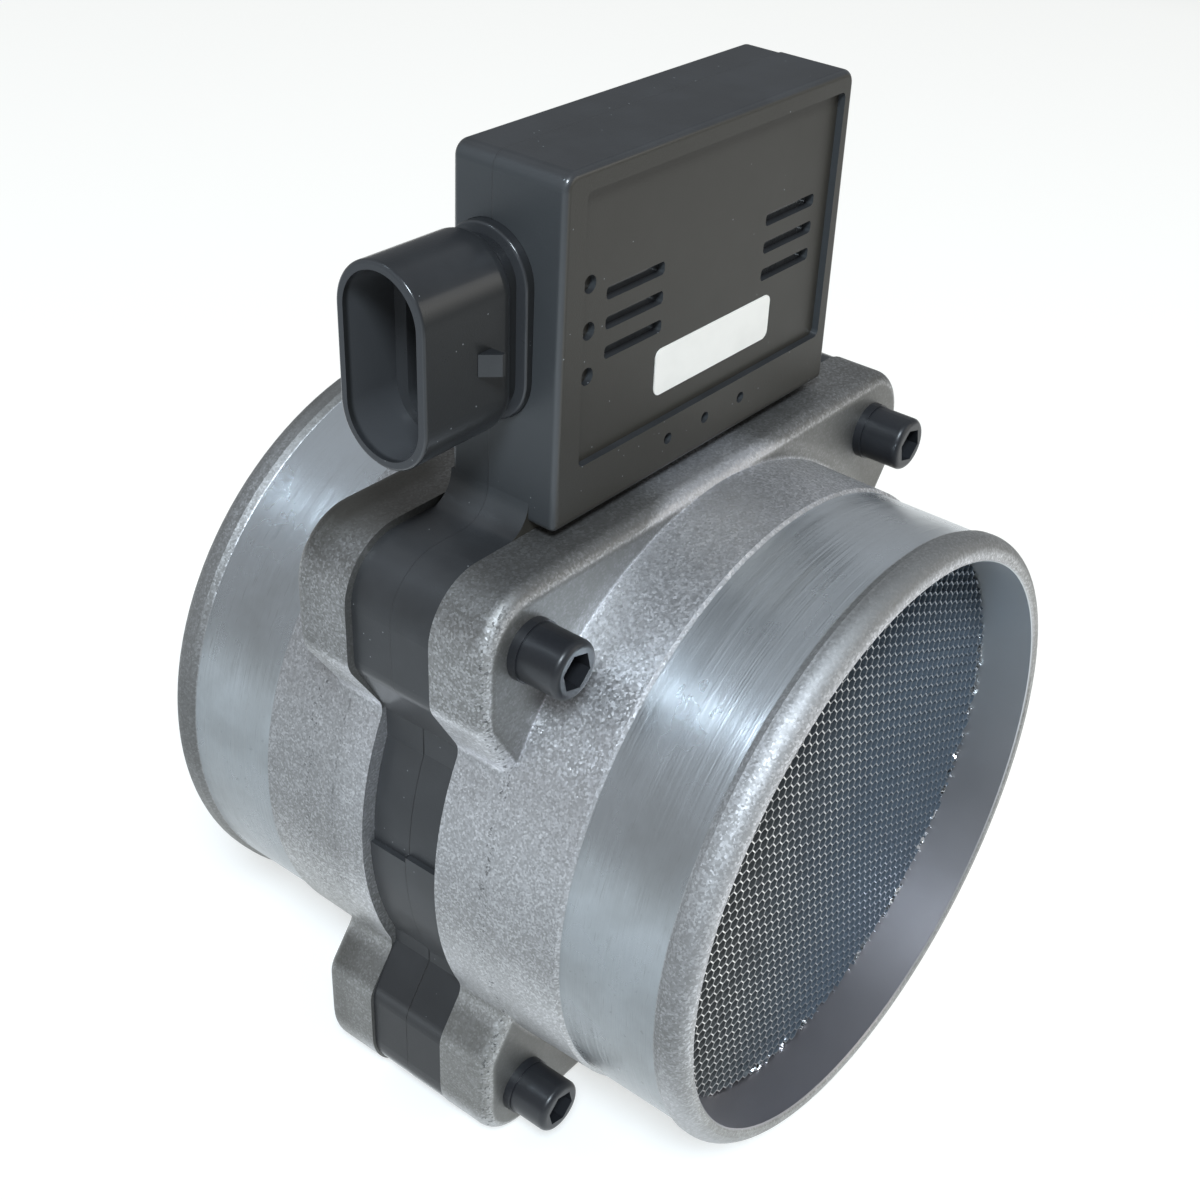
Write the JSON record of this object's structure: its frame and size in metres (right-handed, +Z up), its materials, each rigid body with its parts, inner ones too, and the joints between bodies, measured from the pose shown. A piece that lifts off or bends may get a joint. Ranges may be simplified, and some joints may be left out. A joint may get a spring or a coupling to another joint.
{
  "type": "mass airflow sensor",
  "caption": "In-line air duct sensor: two cast tubes clamped round a plastic spacer with an electronics box, side connector and a honeycomb flow straightener in its mouth.",
  "frame": {"origin": "on the duct axis, on the joint plane between the two halves of the plastic housing", "axes": "+Y along the duct in the direction of flow, from the honeycomb inlet to the outlet, +Z up to the electronics box, +X away from the connector"},
  "size_m": [0.0847, 0.0827, 0.124],
  "materials": {
    "cast_aluminium": "grainy cast skin with turned clamp bands",
    "black_plastic": "satin moulded plastic",
    "connector_plastic": "satin moulded plastic",
    "tinned_metal": "tin plated",
    "board_ceramic": "plain fired",
    "component_resin": "moulded resin",
    "clear_gel": "wet looking soft gel",
    "label_film": "bare pale film",
    "black_steel": "black satin coating",
    "seal_rubber": "moulded rubber",
    "foil": "thin bonded foil",
    "stainless": "drawn metal",
    "carrier_plastic": "moulded plastic"
  },
  "bodies": {
    "root": {"inlet_casting": "cast_aluminium", "outlet_casting": "cast_aluminium", "housing_front": "black_plastic", "housing_rear": "black_plastic", "connector_shell": "connector_plastic", "connector_blades": "tinned_metal", "circuit_board": "board_ceramic", "hybrid_chip": "component_resin", "board_components": "component_resin", "potting_gel": "clear_gel", "label": "label_film", "clamp_screws": "black_steel", "lock_washers": "black_steel", "inlet_seal": "seal_rubber", "outlet_seal": "seal_rubber", "inlet_honeycomb": "foil", "outlet_screen": "stainless", "snap_ring": "stainless", "sensing_carrier": "carrier_plastic", "sensing_posts": "stainless", "sensing_wires": "stainless", "air_temperature_bead": "board_ceramic", "lead_frame": "tinned_metal"}
  },
  "joints": []
}
